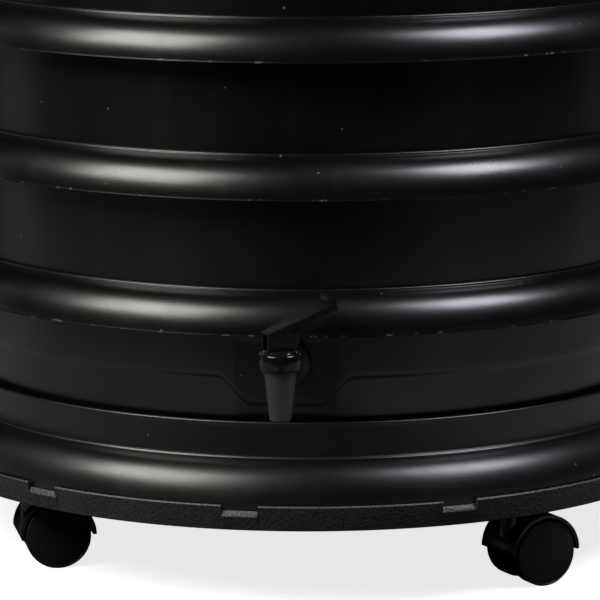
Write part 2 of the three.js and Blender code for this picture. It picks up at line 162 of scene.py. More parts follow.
class Finish(Nodes):
    """A material: a Principled shader with patterns on the object's own coordinates."""

    def __init__(self, name):
        self.material = bpy.data.materials.new(name)
        self.material.use_nodes = True
        super().__init__(self.material.node_tree)
        self.shader = self.add("ShaderNodeBsdfPrincipled")
        out = self.add("ShaderNodeOutputMaterial")
        self.feed(out.inputs["Surface"], self.shader.outputs[0])
        self.place = self.add("ShaderNodeTexCoord").outputs["Object"]

    def noise(self, scale, detail=4.0, rough=0.5, stretch=(1, 1, 1)):
        where = self.add("ShaderNodeMapping", None, {"Vector": self.place, "Scale": stretch})
        sockets = {"Vector": where.outputs[0], "Scale": scale, "Detail": detail, "Roughness": rough}
        return Number(self, self.add("ShaderNodeTexNoise", None, sockets).outputs["Fac"])

    def cells(self, scale):
        """Voronoi cells: the distance to the cell's centre, and one random number for each cell."""
        node = self.add("ShaderNodeTexVoronoi", None, {"Vector": self.place, "Scale": scale})
        split = self.add("ShaderNodeSeparateColor", None, {"Color": node.outputs["Color"]})
        return Number(self, node.outputs["Distance"]), Number(self, split.outputs[0])

    def attribute(self, name):
        node = self.add("ShaderNodeAttribute", {"attribute_name": name})
        return Number(self, node.outputs["Fac"])

    def blend(self, amount, under, over):
        """Two colours mixed by a number or a mask."""
        sockets = {"Factor": amount, 6: under, 7: over}
        node = self.add("ShaderNodeMix", {"data_type": "RGBA"}, sockets)
        return node.outputs[2]

    def bump(self, height, distance, strength=1.0, over=None):
        sockets = {"Height": height, "Distance": distance, "Strength": strength}
        if over is not None:
            sockets["Normal"] = over
        return self.add("ShaderNodeBump", None, sockets).outputs[0]

    def set(self, **values):
        for key, value in values.items():
            self.feed(self.shader.inputs[key.replace("_", " ")], value)
        return self.material


def grey(level, warm=0.0):
    """A near-neutral colour; warm shifts it from blue to red."""
    return (level * (1 + warm), level, level * (1 - warm), 1)


def moulded_black(name, level, rough, peel, dust, worn):
    """Rotation- or blow-moulded polyethylene: flow shading, orange peel, dust and a scuffed trim edge."""
    f = Finish(name)
    flow = f.noise(3.5, 3, stretch=(1, 1, 0.35))
    haze = f.noise(14, 5)
    fine = f.noise(900, 2)
    colour = f.blend(flow.ramp(0.3, 0.7), grey(level * 0.8), grey(level * 1.25, 0.03))
    spot, lot = f.cells(70)
    specks = (spot < 0.045 + lot * 0.02) * (lot > 1 - dust)
    colour = f.blend(specks, colour, grey(0.07, 0.05))
    frayed = f.attribute("trim") * (f.noise(70, 6, 0.7).ramp(0.55, 0.68))
    colour = f.blend(frayed * worn, colour, grey(0.14))
    streak = f.noise(60, 3, stretch=(1, 1, 0.06)).ramp(0.5, 0.9)
    roughness = rough + (haze - 0.5) * 0.12 + streak * 0.05 + frayed * 0.3
    soft = f.bump(f.noise(160, 3), 0.0004, 0.06)
    normal = f.bump(fine, 0.00015, peel, over=soft)
    return f.set(Base_Color=colour, Roughness=roughness, Normal=normal, Specular_IOR_Level=0.5)


def grained_black(name, level, rough):
    """Polypropylene with a coarse moulded grain, paler on its high spots."""
    f = Finish(name)
    spot, _ = f.cells(420)
    grain = f.noise(520, 4, 0.6)
    height = grain * 0.7 + spot * 0.6
    patch = f.noise(24, 4)
    colour = f.blend(height.ramp(0.35, 0.8), grey(level * 0.6), grey(level * 1.5))
    colour = f.blend(patch.ramp(0.45, 0.75) * 0.35, colour, grey(level * 2.2))
    roughness = rough + (patch - 0.5) * 0.15
    normal = f.bump(height, 0.0006, 0.7)
    return f.set(Base_Color=colour, Roughness=roughness, Normal=normal)


def gloss_black(name, level, rough, shine=0.5, coat=0.15):
    """Injection-moulded gloss with faint sink marks and handling marks."""
    f = Finish(name)
    smear = f.noise(45, 5, 0.6)
    colour = f.blend(smear.ramp(0.4, 0.75), grey(level * 0.75), grey(level * 4 / 3))
    roughness = rough + smear.ramp(0.45, 0.8) * 0.12
    normal = f.bump(f.noise(120, 2), 0.0003, 0.08)
    return f.set(
        Base_Color=colour, Roughness=roughness, Normal=normal, Specular_IOR_Level=shine, Coat_Weight=coat,
    )


def matt_plastic(name, level, rough, warm=0.0):
    """A matt moulding with spark-eroded texture and slight shading along its flow."""
    f = Finish(name)
    flow = f.noise(30, 3)
    colour = f.blend(flow.ramp(0.3, 0.7), grey(level * 0.85, warm), grey(level * 1.15, warm))
    roughness = rough + (flow - 0.5) * 0.1
    normal = f.bump(f.noise(2200, 2), 0.00008, 0.5)
    return f.set(Base_Color=colour, Roughness=roughness, Normal=normal)


def nitrile(name):
    """Seal rubber with a bloom of talc."""
    f = Finish(name)
    bloom = f.noise(160, 5, 0.6)
    colour = f.blend(bloom.ramp(0.45, 0.75), grey(0.012), grey(0.045))
    return f.set(Base_Color=colour, Roughness=0.7 + bloom * 0.2, Normal=f.bump(bloom, 0.0002, 0.3))


def zinc_steel(name):
    """Zinc-plated steel: spangled, a little yellowed, with fine turning marks."""
    f = Finish(name)
    spangle, lot = f.cells(260)
    stain = f.noise(90, 4)
    colour = f.blend(lot, grey(0.5, 0.01), grey(0.64, 0.02))
    colour = f.blend(stain.ramp(0.55, 0.8) * 0.4, colour, grey(0.4, 0.12))
    roughness = 0.28 + spangle * 0.1 + stain.ramp(0.5, 0.8) * 0.2
    marks = f.noise(300, 2, stretch=(0.1, 0.1, 6))
    return f.set(Base_Color=colour, Metallic=1.0, Roughness=roughness, Normal=f.bump(marks, 0.00005, 0.3))


FINISHES = {
    "drum_plastic": moulded_black("drum black", 0.0013, 0.29, 0.3, 0.3, 0.5),
    "pan_plastic": moulded_black("pan black", 0.0018, 0.33, 0.3, 0.25, 0.4),
    "ring_plastic": grained_black("ring black", 0.016, 0.5),
    "caster_plastic": gloss_black("caster nylon", 0.012, 0.28),
    "wheel_plastic": matt_plastic("wheel nylon", 0.010, 0.42),
    "tap_grey": matt_plastic("tap grey", 0.021, 0.46),
    "tap_gloss": gloss_black("tap black", 0.004, 0.13, 0.25, 0.05),
    "natural_plastic": matt_plastic("natural acetal", 0.62, 0.4, 0.04),
    "rubber": nitrile("nitrile"),
    "steel": zinc_steel("zinc plate"),
}


# Shapes: a list of points in millimetres and a list of faces.

def as_array(points):
    return np.array(points, float)


def outward(points, faces):
    """The same shape with its faces pointing out."""
    points = as_array(points)
    volume = 0.0
    for face in faces:
        a = points[face[0]]
        for b, c in zip(face[1:-1], face[2:]):
            volume += np.dot(a, np.cross(points[b], points[c]))
    if volume < 0:
        faces = [tuple(reversed(face)) for face in faces]
    return points, faces


def revolved(profile, turns=FINE):
    """A closed profile of (radius, z) turned about Z. A profile may be a function of the angle,
    with turns a count or a list of angles. Angle 0 faces -Y and grows towards +X."""
    angles = np.arange(turns) * (2 * math.pi / turns) if isinstance(turns, int) else as_array(turns)
    shape = profile if callable(profile) else (lambda _: profile)
    rows = [as_array(shape(a)) for a in angles]
    count = len(rows[0])
    points = np.concatenate([
        np.stack([row[:, 0] * math.sin(a), -row[:, 0] * math.cos(a), row[:, 1]], 1)
        for a, row in zip(angles, rows)
    ])
    on_axis = rows[0][:, 0] < 1e-9
    faces = []
    total = len(angles)
    for i in range(total):
        j = (i + 1) % total
        for p in range(count):
            q = (p + 1) % count
            if on_axis[p] and on_axis[q]:
                continue
            here = [0 if on_axis[k] else i for k in (p, q)]
            there = [0 if on_axis[k] else j for k in (p, q)]
            face = [here[0] * count + p, here[1] * count + q, there[1] * count + q, there[0] * count + p]
            faces.append(tuple(dict.fromkeys(face)))
    used = sorted({k for face in faces for k in face})
    renumber = {old: new for new, old in enumerate(used)}
    faces = [tuple(renumber[k] for k in face) for face in faces]
    return outward(points[used], faces)


def turned_out(shape):
    """A convex shape with each face turned to point away from its middle."""
    points, faces = shape
    middle = points.mean(axis=0)
    fixed = []
    for face in faces:
        a, b, c = (points[k] for k in face[:3])
        away = np.dot(np.cross(b - a, c - a), a - middle) > 0
        fixed.append(face if away else tuple(reversed(face)))
    return points, fixed


def prism(outline, low, high):
    """An outline of (x, y) with a height from low to high."""
    count = len(outline)
    points = [(x, y, low) for x, y in outline] + [(x, y, high) for x, y in outline]
    faces = [tuple(range(count)), tuple(range(2 * count - 1, count - 1, -1))]
    faces += [(i, i + count, (i + 1) % count + count, (i + 1) % count) for i in range(count)]
    return outward(points, faces)


def moved(shape, matrix):
    points, faces = shape
    block = np.array(matrix)
    return outward(points @ block[:3, :3].T + block[:3, 3], faces)


def together(*shapes):
    points, faces, start = [], [], 0
    for more, skin in shapes:
        points.append(more)
        faces += [tuple(k + start for k in face) for face in skin]
        start += len(more)
    return np.concatenate(points), faces


def shift(x=0, y=0, z=0):
    return Matrix.Translation((x, y, z))


def turn(degrees, axis):
    return Matrix.Rotation(math.radians(degrees), 4, axis)


ALONG_Y = turn(-90, "X")  # Z becomes +Y
ALONG_X = turn(90, "Y")  # Z becomes +X
UPRIGHT = turn(90, "X")  # an outline's y becomes Z, its height -Y
ACROSS = Matrix(((0, 0, 1, 0), (1, 0, 0, 0), (0, 1, 0, 0), (0, 0, 0, 1)))  # an outline's x becomes Y, its y Z


def box(x0, x1, y0, y1, z0, z1):
    return prism([(x0, y0), (x1, y0), (x1, y1), (x0, y1)], z0, z1)


def rod(radius, low, high, soften=0.4, facets=SMALL):
    """A round bar along Z with softened ends."""
    profile = [
        (0, low), (radius - soften, low), (radius, low + soften),
        (radius, high - soften), (radius - soften, high), (0, high),
    ]
    return revolved(profile, facets)


def arc(x, z, half_x, half_z, start, end, steps):
    """Points along an ellipse from one angle to another, in degrees."""
    return [
        (x + half_x * math.cos(math.radians(a)), z + half_z * math.sin(math.radians(a)))
        for a in np.linspace(start, end, steps + 1)
    ]


# Meshes and pieces.

def raw_mesh(name, shape):
    points, faces = shape
    mesh = bpy.data.meshes.new(name)
    mesh.from_pydata((as_array(points) * MM).tolist(), [], faces)
    mesh.validate()
    mesh.update()
    return mesh


def raw_object(name, shape):
    made = bpy.data.objects.new(name, raw_mesh(name, shape))
    bpy.context.scene.collection.objects.link(made)
    return made


def settled(made):
    """The object with its modifiers worked into its mesh."""
    graph = bpy.context.evaluated_depsgraph_get()
    mesh = bpy.data.meshes.new_from_object(made.evaluated_get(graph))
    made.modifiers.clear()
    old = made.data
    made.data = mesh
    bpy.data.meshes.remove(old)
    return made


def combine(made, shapes, operation):
    """Joins shapes to an object or cuts them from it."""
    others = []
    for i, shape in enumerate(shapes):
        other = raw_object(f"{made.name}_{operation}_{i}", shape)
        others.append(other)
        modifier = made.modifiers.new(f"{operation} {i}", "BOOLEAN")
        modifier.operation = operation
        modifier.solver = "EXACT"
        modifier.object = other
    settled(made)
    for other in others:
        bpy.data.meshes.remove(other.data)
    return made


def bevelled(made, width, steps=2, angle=30):
    modifier = made.modifiers.new("bevel", "BEVEL")
    modifier.width = width * MM
    modifier.segments = steps
    modifier.limit_method = "ANGLE"
    modifier.angle_limit = math.radians(angle)
    return settled(made)


def piece(made, body, slot, *nodes, crease=32, finish=None):
    """A finished piece: smooth shading, its finish, its body and the frame nodes it stands for."""
    mesh = made.data
    mesh.shade_smooth()
    mesh.set_sharp_from_angle(angle=math.radians(crease))
    mesh.materials.clear()
    mesh.materials.append(finish or FINISHES[slot])
    if nodes:
        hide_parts(*nodes)
    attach(made, body)
    return made


def mark_trim(made, chosen):
    """An attribute that is 1 where a point lies on a trimmed edge, for the scuffs."""
    mesh = made.data
    layer = mesh.attributes.new("trim", "FLOAT", "POINT")
    values = [1.0 if chosen(v.co / MM) else 0.0 for v in mesh.vertices]
    layer.data.foreach_set("value", values)


# Geometry Nodes for what repeats or follows a path.

def new_tree(name, inputs):
    """A geometry tree with named inputs, as (its builder, its input sockets, its identifiers)."""
    tree = bpy.data.node_groups.new(name, "GeometryNodeTree")
    nodes = Nodes(tree)
    tree.interface.new_socket("Geometry", in_out="INPUT", socket_type="NodeSocketGeometry")
    named = {}
    for label, kind in inputs.items():
        named[label] = tree.interface.new_socket(label, in_out="INPUT", socket_type=kind).identifier
    tree.interface.new_socket("Geometry", in_out="OUTPUT", socket_type="NodeSocketGeometry")
    source = nodes.add("NodeGroupInput")
    return nodes, source, named


def close_tree(nodes, source, geometry):
    """Ends a tree in Realize Instances and Set Material."""
    real = nodes.add("GeometryNodeRealizeInstances", None, {"Geometry": geometry})
    sockets = {"Geometry": real.outputs[0], "Material": source.outputs["Material"]}
    painted = nodes.add("GeometryNodeSetMaterial", None, sockets)
    nodes.add("NodeGroupOutput", None, {"Geometry": painted.outputs[0]})


def ring_of_copies():
    """Copies of the input mesh round the Z axis."""
    kinds = {
        "Count": "NodeSocketInt", "Radius": "NodeSocketFloat",
        "Start": "NodeSocketFloat", "Material": "NodeSocketMaterial",
    }
    nodes, source, named = new_tree("ring of copies", kinds)
    count, radius = source.outputs["Count"], source.outputs["Radius"]
    index = Number(nodes, nodes.add("GeometryNodeInputIndex").outputs[0])
    angle = index / count * (2 * math.pi) + source.outputs["Start"]
    x = angle.math("SINE") * radius
    y = angle.math("COSINE") * radius * -1
    where = nodes.add("ShaderNodeCombineXYZ", None, {"X": x, "Y": y})
    spin = nodes.add("ShaderNodeCombineXYZ", None, {"Z": angle})
    facing = nodes.add("FunctionNodeEulerToRotation", None, {"Euler": spin.outputs[0]})
    spots = nodes.add("GeometryNodePoints", None, {"Count": count, "Position": where.outputs[0]})
    sockets = {
        "Points": spots.outputs[0], "Instance": source.outputs["Geometry"], "Rotation": facing.outputs[0],
    }
    close_tree(nodes, source, nodes.add("GeometryNodeInstanceOnPoints", None, sockets).outputs[0])
    return nodes.tree, named


def wire_coil():
    """A round wire along a helix up the Z axis, with closed ends."""
    kinds = {
        "Turns": "NodeSocketFloat", "Coil Radius": "NodeSocketFloat", "Height": "NodeSocketFloat",
        "Wire Radius": "NodeSocketFloat", "Material": "NodeSocketMaterial",
    }
    nodes, source, named = new_tree("wire coil", kinds)
    helix = nodes.add("GeometryNodeCurveSpiral", None, {
        "Resolution": 32, "Rotations": source.outputs["Turns"], "Start Radius": source.outputs["Coil Radius"],
        "End Radius": source.outputs["Coil Radius"], "Height": source.outputs["Height"],
    })
    section = nodes.add("GeometryNodeCurvePrimitiveCircle", None, {
        "Resolution": 12, "Radius": source.outputs["Wire Radius"],
    })
    wire = nodes.add("GeometryNodeCurveToMesh", None, {
        "Curve": helix.outputs[0], "Profile Curve": section.outputs[0], "Fill Caps": True,
    })
    close_tree(nodes, source, wire.outputs[0])
    return nodes.tree, named


RING_OF_COPIES = ring_of_copies()
WIRE_COIL = wire_coil()


def grown(made, tree, **values):
    """Runs a geometry tree on an object and keeps the plain mesh."""
    group, named = tree
    modifier = made.modifiers.new("grow", "NODES")
    modifier.node_group = group
    for key, value in values.items():
        modifier[named[key.replace("_", " ")]] = value
    return settled(made)


def copies_round(name, shape, count, radius, start, slot):
    """A shape repeated round Z from an angle in degrees. Its own -Y faces outwards."""
    return grown(
        raw_object(name, shape), RING_OF_COPIES,
        Count=count, Radius=radius * MM, Start=math.radians(start), Material=FINISHES[slot],
    )


def carried(made, matrix):
    """Puts a finished mesh in its place, in millimetres, with its object left at the origin."""
    place = matrix.copy()
    place.translation = matrix.translation * MM
    made.data.transform(place)
    made.data.update()
    return made


# The drum: the sump and the ring sections above it.

def rolled_rim(top):
    """From the band under the rim, up inside the curl, over the top and down to the next one's seat."""
    neck = BAND_R + 3.6
    return [
        (BAND_R, top - 18),
        (BAND_R + 0.8, top - 15.6),
        (neck - 0.6, top - 13),
        (neck, top - 11.5),
        *arc(neck, top - RIM_H, RIM_R - WALL - neck, RIM_H - 4.6, 90, 4, 14),
        (RIM_R - WALL, top - RIM_H + 0.4),
        (RIM_R - WALL + 0.4, top - RIM_H),
        (RIM_R - 0.3, top - RIM_H),
        (RIM_R, top - RIM_H + 0.3),
        (RIM_R - 0.02, top - RIM_H + 0.6),
        (RIM_R - 0.2, top - RIM_H + 1),
        *arc(BAND_R + 5.2, top - RIM_H, RIM_R - BAND_R - 5.4, RIM_H - 1.9, 4, 86, 26),
        (BAND_R + 5.4, top - 2),
        (BAND_R + 4.4, top - 1.9),
        (BAND_R + 3.8, top - 1.7),
        *arc(BAND_R + 2.3, top - 1.2, 1.3, 1.2, 0, 90, 7),
        (BAND_R + 1.0, top),
        (BAND_R + 0.5, top - 0.5),
        (BAND_R + 0.4, top - SPIGOT - GAP),
        (BAND_R - WALL, top - SPIGOT - GAP),
    ]


def on_trim(tops):
    """Whether a point lies on the trimmed edge of one of these rims."""
    def chosen(point):
        reach = math.hypot(point.x, point.y)
        return any(reach > RIM_R - 1.2 and point.z < top - RIM_H + 1.0 for top in tops)
    return chosen


def make_sections():
    for k in range(1, 7):
        foot = RIM_TOPS[k - 1] - SPIGOT
        top = RIM_TOPS[k]
        band = [(BAND_R - WALL, foot), (BAND_R - 0.4, foot), (BAND_R, foot + 0.4)]
        band += [(BAND_R, z) for z in np.linspace(foot + 12, top - 24, 6)]
        made = raw_object(f"drum_section_{k}", revolved(band + rolled_rim(top)))
        mark_trim(made, on_trim([top]))
        piece(made, "drum", "drum_plastic", f"ring_{k}")


def make_sump():
    top = RIM_TOPS[0]
    floor = 165
    foot = corners("sump")[0].z
    bore = corners("pivot_bush")[1].x - 2.2

    def crease(angle):
        """The height where the wall turns in, which dips in a U below the tap."""
        off = abs(math.degrees(math.remainder(angle, 2 * math.pi)))
        dip = 1 - min(max((off - 5.0) / 5.5, 0), 1)
        return CREASE_Z - 20.5 * dip * dip * (3 - 2 * dip)

    def reach(angle, radius, z):
        """The radius at an angle, cut to the flat pad behind the tap."""
        off = math.remainder(angle, 2 * math.pi)
        if abs(off) > 0.4:
            return radius
        fade = min(max((top - RIM_H - 3 - z) / 3, 0), 1)
        flat = PAD_FLAT / math.cos(off)
        return radius + (min(radius, flat) - radius) * fade

    def profile(angle):
        bend = crease(angle)
        edge = reach(angle, BAND_R, bend)
        low = [(FOOT_R + 0.2, 112), (FOOT_R + 1, 128), (edge - 3, 136), (edge - 1.8, 140)]
        low += [(edge - 1.3, 144), (edge - 0.95, bend - 6), (edge - 0.85, bend - 2.8)]
        steps = np.linspace(bend + 2.2, top - RIM_H - 1, 12)
        wall = [(edge - 0.7, bend - 1.6), (edge - 0.4, bend - 0.4), (edge - 0.1, bend + 0.8)]
        wall += [(reach(angle, BAND_R, z), z) for z in steps]
        return [
            (0, floor), (0, floor - WALL), (bore, floor - WALL), (bore, foot + 2),
            (bore + 3.2, foot + 2), (bore + 3.2, floor - WALL), (FOOT_R - 4, floor - WALL),
            (FOOT_R - WALL, foot), (FOOT_R - 0.4, foot), (FOOT_R, foot + 0.4),
            *low, *wall, *rolled_rim(top), (BAND_R - WALL, CREASE_Z + 4), (FOOT_R - 1, floor + 2),
        ]

    near = np.radians(np.linspace(-12, 12, 121))
    far = np.radians(np.linspace(12, 348, 300))[1:-1]
    made = raw_object("sump_shell", revolved(profile, list(near) + list(far)))
    boss = moved(rod(16, PAD_FLAT - 11.5, PAD_FLAT - 2), shift(z=TAP_Z) @ UPRIGHT)
    combine(made, [boss], "UNION")
    hole = moved(rod(9, PAD_FLAT - 30, PAD_FLAT + 30), shift(z=TAP_Z) @ UPRIGHT)
    combine(made, [hole], "DIFFERENCE")
    mark_trim(made, on_trim([top]))
    piece(made, "drum", "drum_plastic", "sump")


# The tap.

TAP_AXIS = -(corners("tap_bonnet")[0].y + corners("tap_bonnet")[1].y) / 2
TAP_Z = (corners("tap_gasket")[0].z + corners("tap_gasket")[1].z) / 2
SPOUT_Z = corners("tap_body")[0].z
BONNET_LOW, BONNET_HIGH = corners("tap_bonnet")
CAP_Z = BONNET_LOW.z + 2.6
PIN_Z = (corners("tap_pin")[0].z + corners("tap_pin")[1].z) / 2
AT_TAP = shift(y=-TAP_AXIS)
LEVER_AXIS = Vector([j for j in frame["joints"] if j["name"] == "tap_lever_press"][0]["axis"])
LEVER_TURN = math.degrees(math.atan2(-LEVER_AXIS.x, LEVER_AXIS.y))
AT_LEVER = AT_TAP @ turn(LEVER_TURN, "Z")
LEVER_RISE = 22.3


def make_tap_body():
    mouth = SPOUT_Z + 1.4
    seat = SPOUT_Z + 19
    top = CAP_Z - GAP
    spout = revolved([
        (5.9, mouth + 0.5), (6.4, mouth), (7.3, mouth), (7.9, mouth + 0.6), (11.7, top - 3),
        (12, top - 0.6), (11.6, top), (9.6, top), (9.6, seat + 4), (4.6, seat), (4.6, seat - 10),
    ], SMALL)
    wall = TAP_AXIS - PAD_FLAT
    along = shift(z=TAP_Z) @ ALONG_Y
    made = raw_object("tap_spout", spout)
    neck = moved(rod(7, 10.2, wall - 5, 0.1), shift(z=TAP_Z - 2.5) @ ALONG_Y)
    flange = moved(revolved([
        (0, wall - 6.2), (16.6, wall - 6.2), (17.8, wall - 5.7), (18.4, wall - 4.6),
        (18.4, wall - 3), (0, wall - 3),
    ], SMALL), along)
    shank = moved(rod(8.6, wall - 4, wall + 22, 0.8), along)
    combine(made, [neck, flange, shank], "UNION")
    combine(made, [moved(rod(4, 6, wall + 30, 0.1), shift(z=TAP_Z - 2.5) @ ALONG_Y)], "DIFFERENCE")
    piece(carried(made, AT_TAP), "drum", "tap_grey", "tap_body")

    thread = [(8.6, 0), (9, 0.75), (8.6, 1.5)]
    turns = [(r, z + 1.5 * i) for i in range(5) for r, z in thread]
    ridge = revolved([(8.2, 0), *turns, (8.2, 7.5)], SMALL)
    made = raw_object("tap_thread", moved(ridge, shift(y=wall + 13.4, z=TAP_Z) @ ALONG_Y))
    piece(carried(made, AT_TAP), "drum", "tap_grey")


def make_tap_fittings():
    wall = TAP_AXIS - PAD_FLAT
    along = shift(z=TAP_Z) @ ALONG_Y
    washer = revolved([
        (9, 0.6), (9.3, 0.3), (17.9, 0.3), (18.3, 0.8), (18.3, 2.1), (17.9, 2.6), (9.3, 2.6), (9, 2.3),
    ], SMALL)
    made = raw_object("tap_washer", moved(washer, along @ shift(z=wall - 2.9)))
    piece(carried(made, AT_TAP), "drum", "rubber", "tap_gasket")

    inner_y = corners("tap_nut")[0].y + TAP_AXIS
    hexagon = arc(0, 0, 13.2, 13.2, 0, 300, 5)
    made = raw_object("tap_back_nut", prism(hexagon, 0, 8))
    combine(made, [rod(9.2, -2, 10)], "DIFFERENCE")
    bevelled(made, 0.6)
    piece(carried(made, AT_TAP @ shift(y=inner_y, z=TAP_Z) @ ALONG_Y), "drum", "tap_grey", "tap_nut")

    low, high, radius = CAP_Z, BONNET_HIGH.z, BONNET_HIGH.x
    cap = revolved([
        (9.2, low), (radius - 0.8, low), (radius - 0.2, low + 0.4), (radius, low + 1),
        (radius, high - 3.4), (radius - 0.25, high - 2.7), (radius - 0.8, high - 2.1),
        (radius - 1.5, high - 1.7), (radius - 2.2, high - 1.6), (radius - 2.9, high - 1.5),
        (radius - 3.4, high - 1), (radius - 4, high - 0.3), (radius - 4.6, high),
        (3.8, high), (3.8, high - 4), (9.2, high - 4),
    ], 96)
    piece(carried(raw_object("tap_cap", cap), AT_TAP), "drum", "tap_gloss", "tap_bonnet")

    low, high = corners("tap_spring")
    made = raw_object("tap_coil_spring", rod(1, 0, 1))
    grown(made, WIRE_COIL, Turns=6.0, Coil_Radius=6 * MM, Height=(high.z - low.z - 1.4) * MM,
          Wire_Radius=0.65 * MM, Material=FINISHES["steel"])
    piece(carried(made, AT_TAP @ shift(z=low.z + 0.7)), "drum", "steel", "tap_spring")


def make_tap_stem():
    low, high = corners("tap_stem")
    collar = low.z + 7.2
    stem = revolved([
        (0, low.z), (3, low.z), (3, collar), (8.6, collar), (8.6, collar + 2), (3.2, collar + 2),
        (3.2, high.z - 1.2), (2.6, high.z - 0.3), (1.6, high.z), (0, high.z),
    ], 48)
    made = raw_object("tap_plunger", stem)
    combine(made, [moved(rod(1.7, -8, 8), shift(z=PIN_Z) @ ALONG_Y)], "DIFFERENCE")
    piece(carried(made, AT_LEVER), "tap_stem", "natural_plastic", "tap_stem")

    foot = corners("tap_seal")[0].z
    seal = revolved([
        (0, foot), (4.6, foot), (5.2, foot + 0.3), (8.0, foot + 2.4), (8.2, foot + 2.9),
        (8.2, foot + 5.3), (7.8, foot + 5.7), (3.3, foot + 5.7), (3.3, foot + 1.7), (0, foot + 1.7),
    ], 48)
    piece(carried(raw_object("tap_seat_seal", seal), AT_TAP), "tap_stem", "rubber", "tap_seal")
    pin = moved(rod(1.5, -6.4, 6.4, 0.35, 32), shift(z=PIN_Z) @ ALONG_Y)
    piece(carried(raw_object("tap_lever_pin", pin), AT_LEVER), "tap_stem", "steel", "tap_pin")


def make_tap_lever():
    """A flared paddle, hollow underneath, with a turned-up end, on two cheeks round the stem."""
    start, length = -12, 54
    back, edge, lip = length - 2.4, length + 1.6, 3.6
    root, tip = 6.6, 12.4
    foot = BONNET_HIGH.z + GAP
    arm_z = PIN_Z + 4.5
    slope = math.tan(math.radians(LEVER_RISE))

    def paddle(x0, half0, x1, half1, low, high):
        return prism([(x0, -half0), (x1, -half1), (x1, half1), (x0, half0)], low, high)

    made = raw_object("tap_paddle", paddle(0, root, length, tip, -4.2, 0))
    flare = (np.array([
        (back, -tip + 0.5, -1), (back, tip - 0.5, -1), (back, tip - 0.2, lip), (back, -tip + 0.2, lip),
        (length, -tip, -1), (length, tip, -1), (edge, tip + 0.4, lip), (edge, -tip - 0.4, lip),
    ]), [(0, 1, 2, 3), (4, 5, 6, 7), (0, 1, 5, 4), (1, 2, 6, 5), (2, 3, 7, 6), (3, 0, 4, 7)])
    combine(made, [turned_out(flare)], "UNION")
    combine(made, [paddle(5, root - 1.3, back, tip - 1.7, -8, -1.8)], "DIFFERENCE")
    bead = [paddle(3, root + 0.35, length, tip + 0.35, -4.4, -3.6)]
    bead_cut = [paddle(2, root - 0.9, length + 1, tip - 1.3, -5, -3)]
    combine(made, bead, "UNION")
    combine(made, bead_cut, "DIFFERENCE")
    made.data.transform(Matrix.Translation(Vector((start, 0, arm_z)) * MM) @ turn(-LEVER_RISE, "Y"))

    def rise(x):
        return arm_z + (x - start) * slope

    side = [
        (start + 0.2, foot), (8, foot), (12, foot + 4),
        (12, rise(12) - 2.2), (start + 0.2, rise(start) - 2.2),
    ]
    cheeks = [moved(prism(side, a, b), UPRIGHT) for a, b in ((-6.6, -3.8), (3.8, 6.6))]
    combine(made, cheeks, "UNION")
    cuts = [
        moved(rod(1.7, -6.45, 6.45, 0.1, 32), shift(z=PIN_Z) @ ALONG_Y),
        box(-14, 8, -3.8, 3.8, foot - 2, PIN_Z + 3.4),
    ]
    combine(made, cuts, "DIFFERENCE")
    bevelled(made, 0.4, 2, 35)
    finish = gloss_black("lever black", 0.003, 0.36, 0.16, 0.0)
    piece(carried(made, AT_LEVER), "tap_lever", "tap_gloss", "tap_lever", crease=40, finish=finish)


# The base: pan, ring, pivot and sockets.

def make_pan():
    low = corners("base_pan")[0].z
    rib_top = 114.3
    rim = corners("base_pan")[1].z
    rib_r = RING_R - 4.4
    neck = BAND_R + 3.7
    floor = 100
    profile = [
        (8.4, floor), (8.4, floor - WALL), (272, floor - WALL), (278, floor + 0.5),
        *arc(neck, low, rib_r - WALL - neck, rib_top - low - 7, 96, 4, 14),
        (rib_r - WALL, low + 0.4), (rib_r - WALL + 0.4, low), (rib_r - 0.5, low), (rib_r, low + 0.5),
        *arc(neck + 3, low, rib_r - neck - 3, rib_top - low - 1.2, 3, 86, 26),
        (neck + 2.6, rib_top - 1.2), *arc(neck + 0.9, rib_top - 0.9, 1.2, 1.2, 10, 90, 6),
        (neck + 0.5, rib_top + 0.6), (neck + 0.6, rib_top + 2), (287.2, rim - 5),
        *arc(286.4, rim - 1.3, 1.3, 1.3, 0, 90, 7), (285.4, rim), (284.7, rim - 0.6), (284.6, rim - 3),
        (280.4, rib_top), (275, floor + 2), (270, floor),
    ]
    made = raw_object("base_pan_shell", revolved(profile))
    mark_trim(made, lambda p: math.hypot(p.x, p.y) > rib_r - 1 and p.z < low + 1)
    piece(made, "base", "pan_plastic", "base_pan")


def make_ring():
    """The castered ring: a grained skirt whose lip is notched all round."""
    low, high = RING_LOW.z, RING_HIGH.z
    foot_r, top_r = RING_R - 5.1, RING_R
    lip = high - 4.5
    half = 27 / 2 / top_r
    start = math.radians(BASE_TURN)

    def profile(notched):
        crest = [
            (top_r - 0.25, high - 0.9), (top_r - 0.9, high), (top_r - 2.2, high), (top_r - 2.9, high - 0.7),
        ]
        if notched:
            crest = [(313.0, 75.6), (311.4, lip - 0.2), (311.2, lip), (311.1, lip)]
        return [
            (foot_r - 4, low), (foot_r - 0.5, low), (foot_r + 0.1, low + 0.5), *crest,
            (top_r - 3.1 if not notched else 311, lip + 0.02), (236, lip), (236, lip - 5),
            (top_r - 9, lip - 5), (top_r - 7.6, lip - 7),
        ]

    angles, marks = [], []
    edge = math.radians(0.03)
    for i in range(12):
        middle = start + i * math.pi / 6
        for a in np.linspace(-half, half, 9):
            angles.append(middle + a)
            marks.append(True)
        for a in np.linspace(half + edge, math.pi / 6 - half - edge, 21):
            angles.append(middle + a)
            marks.append(False)
    notched = dict(zip(angles, marks))
    made = raw_object("castered_ring", revolved(lambda a: profile(notched[a]), angles))
    piece(made, "base", "ring_plastic", "base_ring")



